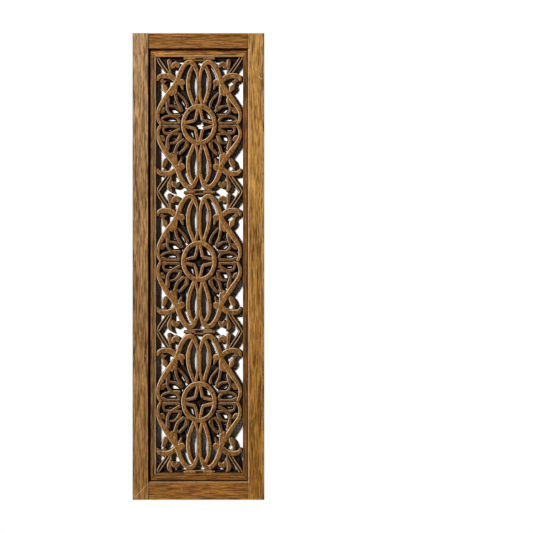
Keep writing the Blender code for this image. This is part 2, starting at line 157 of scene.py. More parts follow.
# Straps take depths for their backs in turn: the step between them, and how many there are.
# Some straps that overlap still come to the same depth and share a plane there
BACK_STEP, BACK_STEPS = 0.00002, 9
# Rounded ends of a strap: cuts near each end, reach in widths, and least width there, squared
END_CUTS = (0.3, 0.125)
END_REACH = 0.45
END_LEAST = 0.12
# Spans of board over which a strap's line, width and top change, and what sets each apart
WANDER_SPAN, SWELL_SPAN, DIP_SPAN = 0.03, 0.02, 0.025
STRAP_SEED, SWELL_SEED, DIP_SEED = 1.37, 5, 9
# Noise seldom strays further than this from nought
NOISE_REACH = 0.5
# Painted highlight: edges that face this way, to the upper left where the main light stands, get their
# full rubbed light colour, and the others this much of it at least
LIGHT_SIDE = Vector((-0.85, 0.53))
LEAST_RUB_AWAY_FROM_LIGHT = 0.2
# Edges that turn more than this many degrees stay crisp
CRISP_ANGLE = 24
# A strap's middle line stays this far inside the opening, and its points this far past the
# opening's ends are left out, in millimetres
EDGE_REACH, PAST_EDGE = 1.5, 3

# Noises of the wood figure: scale, detail, roughness and distortion
FIGURE_NOISES = {
    "streaks": (380, 2, 0.55, 0.6),
    "bands": (75, 2, 0.5, 0.8),
    "fibres": (900, 3, 0.6, 0.0),
    "pores": (1300, 1, 0.4, 0.0),
    "checks": (260, 2, 0.5, 1.5),
    "rays": (330, 2, 0.5, 1.5),
}
PORE_COLOUR = (0.03, 0.014, 0.006, 1)
# Shares of streaks, bands and fibres in the figure's tone, and of rays, checks and pores over it
STREAK_SHARE, BAND_SHARE, FIBRE_SHARE = 0.66, 0.34, 0.5
RAY_SHARE, CHECK_SHARE, PORE_SHARE = 0.12, 0.7, 0.7
# How far streaks and fibres stand up and pores go in
STREAK_RELIEF, FIBRE_RELIEF, PORE_RELIEF = 0.5, 0.35, -0.6
# Roughness of the darkest figure, and how much the lightest one differs from it
DARK_ROUGHNESS, ROUGHNESS_CHANGE = 0.72, -0.15
# Where each piece's figure is taken from, so that no two boards have the same one
CARVING_SHIFT, FRAME_SHIFT, MOULDING_SHIFT = (0.3, 0.1, 0.7), (0.37, 0.11, 0.53), (0.29, 0.17, 0.41)
# Sockets of a Mix node for colours, by number because others there have the same names
MIX_INPUTS, MIX_OUTPUT = (0, 6, 7), 2
# How far the figure is drawn out along the grain, on boards and on carving
BOARD_DRAWN, CARVING_DRAWN = 0.06, 0.45
# How bold the figure is on boards and on carving
BOARD_BOLD, CARVING_BOLD = 1.1, 1.0
# The old finish: its reflection, how strongly its grain shows in relief, and the grain's depth
FINISH_GLOSS = 0.08
GRAIN_RELIEF, GRAIN_DEPTH = 0.35, 0.0006
# The most that rubbing, with its painted highlight, and scratches bare the wood
MOST_RUBBED, MOST_SCRATCHED = 0.9, 0.65
# How far a sloped face's normal points forward: middle and reach of the range
SLOPE_FACING, SLOPE_RANGE = -0.5, 0.38

# Floor: half its width, how far it goes behind the wall, and how far below the panel it lies
FLOOR_HALF, FLOOR_BEHIND, FLOOR_BELOW = 0.7, 0.4, 0.6
# White card: how far it stays inside the panel's edge, and how far behind its back
CARD_MARGIN, CARD_GAP = 0.02, 0.001
# The stage's white, its roughness, and the share of that white where it is darkest
STAGE_WHITE, STAGE_ROUGHNESS, SHADE = (0.9, 0.9, 0.9), 0.9, 0.985
# Where the lights hang from the panel's middle, and how wide they are
MAIN_LIGHT, MAIN_WIDTH = Vector((-0.765, -1.0, 0.47)).normalized() * 5.0, 0.8
BACK_LIGHT, BACK_LIGHT_WIDTH = Vector((0.9, 2.6, 0.6)), 1.5

# Straps of a medallion's upper right quarter, repeated in the other three: top in millimetres out
# from the wall, section, and a run of points: out from the axis, up from the centre, and width
MIRRORED_STRAPS = {
    "loop": (18.2, "band", (
        (9.5, 50, 6), (5.8, 68, 6), (3.2, 82, 5.8), (2.9, 96, 5.6), (2.9, 128, 5.6), (4.6, 144, 6.4),
        (8.4, 156, 9), (14, 167.5, 11), (23, 173.8, 11), (33.5, 170.5, 11), (43.2, 159, 11.5),
        (50.2, 145, 12), (55.5, 130, 12), (62.5, 114, 12), (72.5, 99, 12.5), (83.5, 84, 12.5),
        (93, 69.5, 12), (101.5, 54.6, 10.5), (107.6, 41, 9.2), (110, 28, 8.4), (108.4, 14, 7.5),
        (102, 0.5, 5.5))),
    "lens": (17.6, "band", (
        (12.5, 167, 7), (18.5, 158, 8), (23.2, 148, 8.6), (26.8, 136, 9.2), (28.9, 120, 9.6),
        (28.6, 104, 9.4), (25.6, 87, 9.2), (20.5, 72, 9), (14, 55, 8), (12, 50, 8))),
    "scroll": (17.2, "band", (
        (62, 122, 12), (71, 131, 12.5), (82, 135.5, 12.6), (95, 136, 12), (104.5, 133.6, 10.5),
        (110, 128, 8), (111, 121.5, 5))),
    "outer blade": (16.8, "blade", (
        (117, 186.5, 2.6), (107.5, 171.5, 2.8), (98, 157.5, 2.8), (88, 143, 2.4))),
    "inner blade": (16.4, "blade", (
        (108.5, 186.5, 2.4), (98.5, 171.5, 2.6), (89, 157.5, 2.6), (79, 142.5, 2.4))),
    "blade bed": (9.0, "leaf", ((112.8, 186.5, 14), (103, 171.5, 9), (93.5, 157.5, 6), (84, 143, 6))),
    "curl": (16.0, "leaf", (
        (68.5, 156.5, 5), (69, 161, 10), (66.8, 166, 13), (62.4, 168.4, 14), (58, 166.6, 12.5),
        (55.6, 163, 9.5), (55.6, 158.5, 6))),
    "behind curl": (13.0, "leaf", ((80, 166, 7), (70, 166, 7))),
}
# Straps of its upper right quarter, repeated on its left
UPPER_LEAVES = {
    "upright leaf": (15.6, "leaf", (
        (74.5, 140, 2.5), (77.2, 151, 5), (78, 162, 8), (79, 171.5, 10), (79.5, 178, 11),
        (79.2, 182.5, 9))),
    "bud cap": (13.6, "leaf", ((104, 124, 4), (98, 120, 6), (89, 120.5, 3.5))),
    "bud neck": (13.0, "leaf", ((98.5, 131, 5), (97.5, 120, 4.5), (94.5, 110, 6))),
    "bud": (16.6, "band", (
        (95.5, 111, 4), (93, 106, 12), (91, 100.5, 13.5), (89.2, 95.5, 9), (87.6, 90.5, 2.5))),
    "side lobe": (17.7, "band", (
        (58, 118, 14), (50, 118, 17), (44.5, 117, 16), (40.5, 116, 11), (38, 115.5, 5))),
    "spike": (15.6, "petal", ((47, 113, 10), (45, 106, 7.5), (43.5, 101, 5), (42.5, 97, 2.5))),
    "stem": (15.6, "petal", (
        (57, 90, 3.5), (51, 83, 5), (44.5, 76.5, 5.5), (38.5, 69.5, 6), (33.5, 61, 6.5), (31, 54, 7),
        (32.5, 48, 7))),
    "crotch": (17.6, "band", ((74, 93, 14), (73, 86, 10), (72.5, 80, 4))),
    "root": (17.7, "band", ((62, 110, 11), (63.5, 97, 10), (65, 88, 12), (67, 83, 11))),
    "first petal": (15.4, "petal", (
        (64, 86, 8), (61, 75, 7.5), (59, 66, 7), (55.5, 58.5, 7.5), (50.5, 51, 7.5), (46, 45, 7))),
    "second petal": (15.0, "petal", (
        (81, 53.5, 6), (72, 51, 5), (64, 50.5, 6), (57, 46.5, 7), (50, 42.5, 9), (43, 38.5, 9))),
    "branch": (16.4, "petal", (
        (85, 77, 13), (83.5, 66, 12.5), (84, 55, 8.5), (85, 45, 6.5), (81.7, 36, 6.5),
        (76, 29.5, 6.5), (70, 26, 6))),
    "side bud": (15.2, "petal", ((105, 38, 13), (98, 38.5, 13), (94, 42, 11), (88, 47.8, 3))),
    "third petal": (15.2, "petal", (
        (102, 11, 4), (98.5, 17.5, 5.5), (91, 21.5, 5.5), (82, 24, 5.5), (72, 25, 8), (60, 25, 9),
        (49.5, 25.5, 8))),
    "third petal hook": (14.8, "petal", ((72, 24, 5), (62, 21.5, 6), (55, 15, 7), (52, 7, 7))),
    "level petal": (15.4, "petal", (
        (106, 7, 4), (97, 7.5, 9), (88, 4.5, 6), (75, 3.6, 5.6), (60, 3.8, 6.4), (51, 4.2, 7))),
}
# Straps of its lower right quarter, repeated on its left
LOWER_LEAVES = {
    "upright leaf": (15.6, "leaf", (
        (74.5, -140, 2.5), (75.4, -150, 4), (78, -160, 8), (80, -168.5, 11), (79.3, -176, 10),
        (75.8, -182, 6), (72, -186, 3))),
    "round bud neck": (12.6, "leaf", ((91, -131, 9), (94.5, -122, 10))),
    "round bud": (16.4, "leaf", (
        (88.5, -93, 6), (89.2, -97, 11), (90.8, -103, 13.5), (92.6, -109, 12.5), (94.6, -115, 10),
        (95.8, -120, 6))),
    "side lobe": (17.7, "band", (
        (59, -120, 12), (52, -118, 18), (46, -117, 19), (41, -117, 14), (37.8, -117, 6))),
    "spike": (17.0, "petal", ((52.5, -112, 11), (50, -105, 8.5), (48, -98, 5.5), (47, -93, 2.5))),
    "level petal": (15.8, "petal", (
        (101, -4, 6), (97, -5.5, 10.5), (92.5, -5.8, 10.5), (87, -5.2, 6), (75, -5, 6), (62, -5.5, 6.5),
        (51, -6.2, 7.5))),
    "third petal": (15.2, "petal", (
        (95, -8, 5), (94.6, -17, 5.5), (90, -23, 6), (82, -24.6, 6.5), (72, -25, 6), (58, -25.5, 6),
        (46.5, -27, 6))),
    "branch": (16.2, "petal", (
        (50.5, -11.5, 7), (58, -15.5, 7.5), (67, -20.5, 7), (74.5, -26, 7), (80.8, -33, 7),
        (84, -41, 7.5), (84.3, -50, 9), (83.5, -60, 11.5), (84.5, -72, 13))),
    "crotch": (17.6, "band", ((74, -93, 14), (73, -85, 10), (72, -77, 4))),
    "second petal": (15.0, "petal", (
        (48.5, -28, 7), (51.5, -35.5, 9.5), (56, -43, 9.5), (62, -48, 7), (69, -51, 5),
        (78, -51.5, 4))),
    "first petal": (15.6, "petal", (
        (40, -41, 7), (47.5, -46.5, 7.5), (54, -52.5, 8), (59.2, -60, 8), (61.8, -68, 7.5),
        (64.5, -76, 8), (69, -86, 9))),
    "root": (17.7, "band", ((62, -110, 11), (63.5, -97, 10), (65, -88, 12), (67, -83, 11))),
    "side bud": (15.2, "petal", ((105, -35, 12), (98, -37, 13), (94, -42, 8), (92, -46, 3))),
    "hook": (15.2, "petal", (
        (42, -45, 3.5), (36.5, -44, 5), (32.5, -46, 8), (31.5, -52, 8), (30.5, -59, 7))),
    "hook barb": (14.2, "petal", ((33.5, -47, 6), (36.5, -55, 3.5), (40, -62.5, 3))),
    "cross twig": (15.2, "petal", (
        (28.5, -57, 5), (35, -63.5, 6.5), (42, -70.5, 7), (48.5, -77.5, 7), (54, -83, 5))),
    "twig": (14.2, "petal", ((64, -86, 6), (58.5, -79, 4.5), (56, -74, 2.5))),
}
# Top of the ground where it isn't cut right through. This low ground is stained near black as painted
# shade, where the openings round it lie in shade
GROUND_TOP = 7.0
# Runs of such ground inside the medallions, left of the axis (-1) and right of it (1)
SHALLOW_CUTS = {
    -1: {"beside stem": ((42, 98, 9), (34, 82, 9), (27, 68, 8)),
         "beside bud": ((68, 124, 5), (84, 126, 8), (87, 118, 9), (85, 108, 5)),
         "beside lens": ((47, -76, 15), (46, -92, 12), (46, -108, 10)),
         "under stem": ((56, 92, 14), (48, 84, 12))},
    1: {"beside lens": ((41, -76, 12), (40, -92, 10), (39, -108, 8)),
        "under stem": ((56, 92, 14), (48, 84, 12))},
}
# Runs of such ground at the board's top and bottom, by medallion and side
TOP_GROUND = {
    "top": ((112, 183, 10), (40, 183, 10)),
    "beside leaf": ((91, 184, 15), (89, 172, 10), (86, 160, 5)),
}
BOTTOM_GROUND = {"bottom": ((112, -184, 5), (8, -184, 5))}
CORNER_GROUND = {"corner": ((106, -146, 8), (106, -160, 10), (108, -176, 12), (108, -186, 12))}
END_GROUND = {
    (0, -1): TOP_GROUND,
    (0, 1): TOP_GROUND,
    (2, -1): BOTTOM_GROUND,
    (2, 1): BOTTOM_GROUND | CORNER_GROUND,
}
# Ground left in the middle of a star, stained near black as painted shade, and the medallions that have
# it
STAR_GROUND = {"middle": (6.0, "ground", ((0, 8, 12), (0, -8, 12)))}
GROUNDED_STARS = (1, 2)
STAR_ARMS = {
    "upright arm": (18.6, "arm", ((2.8, 46, 6), (9.6, 11.4, 6.8))),
    "level arm": (18.6, "arm", ((9.6, 11.4, 6.8), (40, 3.8, 6.4))),
}

# Collar between two medallions: out from the axis, up from the joint, width
COLLAR_STRAPS = {
    "side bar": (18.0, "band", ((42, -1.8, 4), (38, -2, 5), (10, -2, 4.6))),
    # Painted shade: the web is low ground stained near black, so the bars stand out against a shaded gap
    "web": (12.0, "ground", ((34.5, 0, 19), (11.5, 0, 19))),
}
COLLAR_FILLETS = {
    "upper fillet": (17.0, "blade", ((34, 3.9, 2.6), (0, 4.2, 2.6), (-34, 3.9, 2.6))),
    "lower fillet": (15.0, "leaf", ((15, -6.8, 2.8), (0, -6.8, 2.8), (-15, -6.8, 2.8))),
}


def board_colour(board, colour):
    """Describe the setting that holds a board's mean colour."""
    return FloatVectorProperty(name=board, description=f"Mean colour of the {board.lower()}",
                               default=colour, subtype="COLOR")


class CarvingSizes(bpy.types.PropertyGroup):
    """How finely and how evenly the board is carved."""

    step: FloatProperty(name="Cut length", description="Length of board between two sections of a strap",
                        default=0.0038, min=0.001, unit="LENGTH")
    wander: FloatProperty(name="Hand wander", description="How far a strap strays from its drawn line",
                          default=0.00035, min=0.0, unit="LENGTH")
    swell: FloatProperty(name="Uneven width", description="How much a strap's width varies",
                         default=0.06, min=0.0, subtype="FACTOR")
    dip: FloatProperty(name="Uneven top", description="How far a strap's top dips under the knife",
                       default=0.0005, min=0.0, unit="LENGTH")


class WoodColours(bpy.types.PropertyGroup):
    """Mean colour of each board, and how its figure, its rubbed edges and its stain look."""

    left_stile: board_colour("Left stile", (0.222, 0.110, 0.036))
    right_stile: board_colour("Right stile", (0.262, 0.116, 0.022))
    top_rail: board_colour("Top rail", (0.185, 0.073, 0.012))
    bottom_rail: board_colour("Bottom rail", (0.190, 0.074, 0.011))
    left_moulding: board_colour("Left moulding", (0.144, 0.062, 0.014))
    right_moulding: board_colour("Right moulding", (0.138, 0.052, 0.008))
    top_moulding: board_colour("Top moulding", (0.270, 0.109, 0.017))
    bottom_moulding: board_colour("Bottom moulding", (0.158, 0.061, 0.009))
    carving: board_colour("Carving", (0.190, 0.078, 0.013))
    # The rubbed colour also paints highlights on edges and slopes that face the light, and the stain
    # colour also paints shade on the low ground and the shaded slopes
    rubbed: FloatVectorProperty(name="Rubbed edge", description="Bare wood where edges are rubbed",
                                default=(0.56, 0.43, 0.28), subtype="COLOR")
    stain: FloatVectorProperty(name="Stain", description="Old stain and dirt left in the cuts",
                               default=(0.014, 0.008, 0.004), subtype="COLOR")
    light_figure: FloatVectorProperty(name="Light figure", description="Light streaks, against the mean",
                                      default=(1.75, 1.85, 2.1), min=1.0, max=4.0)
    dark_figure: FloatVectorProperty(name="Dark figure", description="Dark streaks, against the mean",
                                     default=(0.30, 0.25, 0.18), min=0.0, max=1.0)


class StageSizes(bpy.types.PropertyGroup):
    """Where the camera and the lights stand."""

    distance: FloatProperty(name="Camera distance", description="From the camera to the panel's front",
                            default=3.6, min=0.5, unit="LENGTH")
    view_width: FloatProperty(name="View width", description="Width of the view at the panel's front",
                              default=1.416, min=0.1, unit="LENGTH")
    aim_right: FloatProperty(name="Aim to the right", description="From the panel's middle to the view's",
                             default=0.1808, unit="LENGTH")
    key_power: FloatProperty(name="Main light", description="Power of the light at the upper left",
                             default=430.0, min=0.0, unit="POWER")
    back_power: FloatProperty(name="Back light", description="Power of the soft light behind the panel",
                              default=60.0, min=0.0, unit="POWER")
    room: FloatVectorProperty(name="Room light", description="Even warm light from all round",
                              default=(0.026, 0.017, 0.007), subtype="COLOR")


def flipped(straps):
    """Turn a group of straps upside down."""
    return {name: (top, section, tuple((out, -up, width) for out, up, width in path))
            for name, (top, section, path) in straps.items()}


def low_ground(runs):
    """Describe runs of low ground as straps, stained near black as painted shade."""
    return {name: (GROUND_TOP, "ground", path) for name, path in runs.items()}


def curve_point(before, start, end, after, part):
    """Return a point on the smooth curve through four (x, z, width) points, between the middle two."""
    return tuple(0.5 * (2 * near + (far - back) * part + (2 * back - 5 * near + 4 * far - on) * part ** 2
                        + (3 * near - back - 3 * far + on) * part ** 3)
                 for back, near, far, on in zip(before, start, end, after))


def smooth_run(path, step, closed):
    """Run a smooth curve through (x, z, width) points in metres, with a station every step."""
    count = len(path)
    stations = []
    for index in range(count if closed else count - 1):
        start, end = path[index], path[(index + 1) % count]
        before = path[index - 1] if closed or index else start
        after = path[(index + 2) % count] if closed or index + 2 < count else end
        length = math.dist(start[:2], end[:2])
        cuts = max(1, round(length / step))
        stations += [curve_point(before, start, end, after, cut / cuts) for cut in range(cuts)]
    if not closed:
        stations.append(path[-1])
    return stations


def run_length(stations):
    """Return how far along the run each station lies."""
    lengths = [0.0]
    for first, second in zip(stations, stations[1:]):
        lengths.append(lengths[-1] + math.dist(first[:2], second[:2]))
    return lengths


def rounded_ends(stations):
    """Round both ends of an open run by narrowing its last stations."""
    first, second, before_last, last = stations[0], stations[1], stations[-2], stations[-1]
    for share in END_CUTS:
        stations.insert(1, tuple(near + (far - near) * share for near, far in zip(first, second)))
        stations.insert(-1, tuple(near + (far - near) * share for near, far in zip(last, before_last)))
    stations[1], stations[2] = stations[2], stations[1]
    lengths = run_length(stations)
    total = lengths[-1]
    rounded = []
    for (x, z, width), length in zip(stations, lengths):
        reach = width * END_REACH
        inward = min(min(length, total - length) / reach, 1.0)
        rounded.append((x, z, width * math.sqrt(max(END_LEAST, 1 - (1 - inward) ** 2))))
    return rounded


def section_points(section):
    """Return a strap's section from its left side over the top to its right side."""
    half = ((1.0, SIDE_DROP, 0.0, 1.0), *SECTIONS[section])
    return [(-place[0], *place[1:]) for place in half] + list(half[-2::-1])


def hand_noise(x, z, seed, size):
    """Return slow, even noise for a place on the board."""
    return noise.noise(Vector((x / size, z / size, seed)))


class Carving:
    """Gathers a piece's points, faces and worn places, with their painted highlight and painted shade,
    while it is carved.
    """

    def __init__(self, sizes, box):
        self.sizes = sizes
        self.low, self.high = box
        self.verts, self.faces, self.rub, self.depth = [], [], [], []
        self.straps = 0

    def point(self, x, out, z, rub, deep):
        """Add a point, held inside the solid's box."""
        x = min(max(x, self.low.x), self.high.x)
        z = min(max(z, self.low.z), self.high.z)
        self.verts.append((x, -min(out, -self.low.y), z))
        self.rub.append(rub)
        self.depth.append(deep)
        return len(self.verts) - 1

    def strap(self, path, top, section, closed=False):
        """Carve one strap: sweep its section along a run of (x, z, width) in metres."""
        sizes = self.sizes
        self.straps += 1
        seed = self.straps * STRAP_SEED
        stations = smooth_run(path, sizes.step, closed)
        if not closed:
            stations = rounded_ends(stations)
        across_points = section_points(section)
        back = BACK + BACK_STEP * (self.straps % BACK_STEPS)
        rings = []
        last = len(stations) - 1
        for index, (x, z, width) in enumerate(stations):
            before = stations[index - 1] if closed or index else stations[0]
            after = stations[(index + 1) % len(stations)] if closed or index < last else stations[-1]
            along = Vector((after[0] - before[0], after[1] - before[1])).normalized()
            side = Vector((along.y, -along.x))
            stray = hand_noise(x, z, seed, WANDER_SPAN) * sizes.wander
            swell = 1 + hand_noise(x, z, seed + SWELL_SEED, SWELL_SPAN) * sizes.swell
            half = (width + BEVEL_WIDTH[section] * MM) / 2 * swell
            dip = abs(hand_noise(x, z, seed + DIP_SEED, DIP_SPAN)) / NOISE_REACH
            level = top * MM - dip * sizes.dip
            foot = half + BACK_WIDTH[section] * MM / 2
            ring = [self.point(x - side.x * foot, back, z - side.y * foot, 0.0, 1.0)]
            # Painted highlight: an edge's rubbed light colour is scaled by how far it faces the main
            # light
            facing_light = side.dot(LIGHT_SIDE)
            for across, drop, rub, deep in across_points:
                shift = stray + across * half
                rub *= LEAST_RUB_AWAY_FROM_LIGHT + (1 - LEAST_RUB_AWAY_FROM_LIGHT) * max(0.0, facing_light * across)
                out = max(level - drop * MM, back + SIDE_CLEARANCE)
                ring.append(self.point(x + side.x * shift, out, z + side.y * shift, rub, deep))
            ring.append(self.point(x + side.x * foot, back, z + side.y * foot, 0.0, 1.0))
            rings.append(ring)
        self.skin(rings, closed)

    def skin(self, rings, closed=False):
        """Cover the space between rings of points with faces, and close the ends of an open run."""
        pairs = list(zip(rings, rings[1:] + rings[:1])) if closed else list(zip(rings, rings[1:]))
        for first, second in pairs:
            for place in range(len(first)):
                following = (place + 1) % len(first)
                self.faces.append((first[place], first[following], second[following], second[place]))
        if not closed:
            self.faces.append(tuple(rings[0][::-1]))
            self.faces.append(tuple(rings[-1]))

    def strip(self, outer, inner, rubbed):
        """Run a moulding strip between its outer and its inner line, mitred at both ends."""
        (first_outer, last_outer), (first_inner, last_inner) = outer, inner
        front = -self.low.y
        cuts = round((last_outer - first_outer).length / STRIP_CUT)
        rings = []
        for cut in range(cuts + 1):
            near = first_outer.lerp(last_outer, cut / cuts)
            far = first_inner.lerp(last_inner, cut / cuts)
            ring = []
            for part, drop, rub, deep in MOULDING_SECTION:
                x, z = near.lerp(far, part)
                uneven = self.sizes.dip if drop < STRIP_UNEVEN_DROP else 0.0
                dip = abs(hand_noise(x, z, part * STRIP_SEED, STRIP_SPAN)) * uneven
                ring.append(self.point(x, front - drop * MM - dip, z, rub * rubbed, deep))
            rings.append(ring)
        self.skin(rings)

    def slab(self, left, right, bottom, top, front):
        """Add a plain upright slab from the board's back to a lower front."""
        corners = [(left, bottom), (right, bottom), (right, top), (left, top)]
        low = [self.point(x, BACK, z, 0.0, 1.0) for x, z in corners]
        high = [self.point(x, front, z, *RIM_FINISH) for x, z in corners]
        self.faces.append(tuple(high))
        self.faces.append(tuple(low[::-1]))
        for index in range(len(corners)):
            following = (index + 1) % len(corners)
            self.faces.append((low[index], low[following], high[following], high[index]))

    def mesh(self, name):
        """Return the carved mesh with its rubbed and deep places, which also hold painted highlight and
        painted shade, as attributes.
        """
        mesh = bpy.data.meshes.new(name)
        mesh.from_pydata(self.verts, [], self.faces)
        for title, values in (("rub", self.rub), ("deep", self.depth)):
            attribute = mesh.attributes.new(title, "FLOAT", "POINT")
            attribute.data.foreach_set("value", values)
        work = bmesh.new()
        work.from_mesh(mesh)
        bmesh.ops.recalc_face_normals(work, faces=work.faces)
        work.to_mesh(mesh)
        work.free()
        mesh.shade_smooth()
        mesh.set_sharp_from_angle(angle=math.radians(CRISP_ANGLE))
        return mesh


def opening():
    """Return the left, right, bottom and top of the opening inside the moulding strips."""
    return (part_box("left_moulding")[1].x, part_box("right_moulding")[0].x,
            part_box("bottom_moulding")[1].z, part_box("top_moulding")[0].z)


def strip_lines(node):
    """Return a moulding strip's outer and inner lines as pairs of (x, z) ends."""
    left, right, bottom, top = opening()
    low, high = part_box(node)
    gap = 2 * CLEARANCE
    sides = {
        "left_moulding": ((low.x, low.z), (low.x, high.z), (left, bottom + gap), (left, top - gap)),
        "right_moulding": ((high.x, high.z), (high.x, low.z), (right, top - gap), (right, bottom + gap)),
        "top_moulding": ((low.x, high.z), (high.x, high.z), (left + gap, top), (right - gap, top)),
        "bottom_moulding": ((high.x, low.z), (low.x, low.z), (right - gap, bottom), (left + gap, bottom)),
    }
    ends = [Vector(end) for end in sides[node]]
    return ends[:2], ends[2:]


def inside_opening(path):
    """Keep a run's middle line inside the opening."""
    left, right, bottom, top = opening()
    kept = []
    for x, z, width in path:
        reach = min(width / 2, EDGE_REACH * MM)
        kept.append((min(max(x, left + reach), right - reach),
                     min(max(z, bottom + reach), top - reach), width))
    return kept


def leaned(side, out, up):
    """Draw a place on the right half inward, most where the loops slant."""
    if side < 0 or not SLANT[0] < abs(up) < SLANT[1]:
        return out
    share = math.sin(math.pi * (abs(up) - SLANT[0]) / (SLANT[1] - SLANT[0]))
    return out - LEAN * share * min(1.0, out / LEAN_FULL_OUT)


def carve_group(board, straps, side, height, stretch):
    """Carve a group of straps on one side of a medallion."""
    _, _, bottom, top = opening()
    lowest, highest = bottom - PAST_EDGE * MM, top + PAST_EDGE * MM
    for level, section, path in straps.values():
        run = [(BOARD_AXIS + side * leaned(side, out, up) * MM, height + up * stretch * MM, width * MM)
               for out, up, width in path]
        run = [place for place in run if lowest < place[1] < highest]
        if len(run) > 1:
            board.strap(inside_opening(run), level, section)


def carve_collar(board, height):
    """Carve the bars that tie two medallions together at their joint."""
    for side in (1, -1):
        carve_group(board, COLLAR_STRAPS, side, height, 1.0)
    carve_group(board, COLLAR_FILLETS, 1, height, 1.0)


def carve_medallion(board, number, height, stretch):
    """Carve one medallion: ring, star, straps and leaves."""
    ring = []
    for cut in range(RING_CUTS):
        angle = 2 * math.pi * cut / RING_CUTS
        ring.append((BOARD_AXIS + RING_RADII[0] * MM * math.cos(angle),
                     height + RING_RADII[1] * MM * math.sin(angle), RING_WIDTH * MM))
    board.strap(ring, RING_TOP, "ring", closed=True)
    if number in GROUNDED_STARS:
        carve_group(board, STAR_GROUND, 1, height, 1.0)
    for side in (1, -1):
        for arms in (STAR_ARMS, flipped(STAR_ARMS)):
            carve_group(board, arms, side, height, 1.0)
        for straps in (MIRRORED_STRAPS, flipped(MIRRORED_STRAPS), UPPER_LEAVES, LOWER_LEAVES,
                       low_ground(SHALLOW_CUTS[side]), low_ground(END_GROUND.get((number, side), {}))):
            carve_group(board, straps, side, height, stretch)


def carve_rim(board):
    """Add the board's low rim, which runs under the moulding strips."""
    left, right, bottom, top = opening()
    inset = RIM_SHOWS - CLEARANCE
    low, high = BOARD_LOW, BOARD_HIGH
    board.slab(low.x, left + inset, low.z, high.z, RIM_FRONT)
    board.slab(right - inset, high.x, low.z, high.z, RIM_FRONT)
    board.slab(left + inset, right - inset, low.z, bottom + inset, RIM_FRONT)
    board.slab(left + inset, right - inset, top - inset, high.z, RIM_FRONT)


def feed(socket, value):
    """Link an input to a socket, or set it to a plain value."""
    if isinstance(value, bpy.types.NodeSocket):
        socket.id_data.links.new(value, socket)
    else:
        socket.default_value = value


def add_node(tree, kind, values, **settings):
    """Add a shader node with its settings, and feed its inputs by name or number."""
    node = tree.nodes.new(kind)
    for name, value in settings.items():
        setattr(node, name, value)
    for key, value in values.items():
        feed(node.inputs[key], value)
    return node


def new_group(name, inputs, outputs):
    """Make a shader node group from its sockets' names and kinds, and return it and its two ends."""
    tree = bpy.data.node_groups.new(name, "ShaderNodeTree")
    for way, sockets in (("INPUT", inputs), ("OUTPUT", outputs)):
        for title, kind in sockets.items():
            tree.interface.new_socket(title, in_out=way, socket_type="NodeSocket" + kind)
    return tree, tree.nodes.new("NodeGroupInput").outputs, tree.nodes.new("NodeGroupOutput").inputs


def object_place(tree):
    """Return the socket that gives a place on the object."""
    return tree.nodes.new("ShaderNodeTexCoord").outputs["Object"]


def tree_of(values):
    """Return the node tree that the first socket among some values belongs to."""
    return next(value.id_data for value in values if isinstance(value, bpy.types.NodeSocket))


def mixed(factor, first, second, blend="MIX"):
    """Mix two colours, each a socket or a plain colour, and return the result's socket."""
    values = dict(zip(MIX_INPUTS, (factor, first, second)))
    node = add_node(tree_of(values.values()), "ShaderNodeMix", values, data_type="RGBA", blend_type=blend)
    return node.outputs[MIX_OUTPUT]


def figured(operation, *values):
    """Do one sum on sockets or numbers, and return the result's socket."""
    vectors = isinstance(values[0], bpy.types.NodeSocketVector)
    kind = "ShaderNodeVectorMath" if vectors else "ShaderNodeMath"
    return add_node(tree_of(values), kind, dict(enumerate(values)), operation=operation).outputs[0]


def parted(vector):
    """Return the sockets of a vector's three parts."""
    return add_node(vector.id_data, "ShaderNodeSeparateXYZ", {0: vector}).outputs


def ramped(value, low, high):
    """Spread a value between two limits over 0 to 1."""
    values = {"Value": value, "From Min": low, "From Max": high}
    return add_node(value.id_data, "ShaderNodeMapRange", values).outputs["Result"]


def speckle(place, scale, detail=3.0, roughness=0.55, distortion=0.0):
    """Return the value of a noise at a place."""
    values = {"Vector": place, "Scale": scale, "Detail": detail, "Roughness": roughness,
              "Distortion": distortion}
    return add_node(place.id_data, "ShaderNodeTexNoise", values).outputs["Fac"]


def grain_group():
    """Make the wood figure: streaks, pores, rays and broad tone along the grain."""
    tree, given, result = new_group(
        "Wood figure",
        {"Place": "Vector", "Light": "Color", "Dark": "Color", "Bare": "Color"},
        {"Colour": "Color", "Shine": "Float", "Height": "Float"})
    streaks, bands, fibres, pores, checks, rays = (
        speckle(given["Place"], *noises) for noises in FIGURE_NOISES.values())
    pores = ramped(pores, 0.60, 0.72)
    checks = ramped(checks, 0.60, 0.68)
    rays = ramped(rays, 0.60, 0.70)
    tone = figured("MULTIPLY_ADD", ramped(streaks, 0.40, 0.60), STREAK_SHARE,
                   figured("MULTIPLY", ramped(bands, 0.34, 0.66), BAND_SHARE))
    tone = figured("MULTIPLY_ADD", figured("SUBTRACT", fibres, 0.5), FIBRE_SHARE, tone)
    colour = mixed(tone, given["Dark"], given["Light"])
    colour = mixed(figured("MULTIPLY", rays, RAY_SHARE), colour, given["Bare"])
    colour = mixed(figured("MULTIPLY", checks, CHECK_SHARE), colour, given["Dark"])
    colour = mixed(figured("MULTIPLY", pores, PORE_SHARE), colour, PORE_COLOUR)
    height = figured("MULTIPLY_ADD", streaks, STREAK_RELIEF, figured("MULTIPLY", pores, PORE_RELIEF))
    feed(result["Colour"], colour)
    feed(result["Shine"], figured("MULTIPLY_ADD", tone, ROUGHNESS_CHANGE, DARK_ROUGHNESS))
    feed(result["Height"], figured("MULTIPLY_ADD", fibres, FIBRE_RELIEF, height))
    return tree


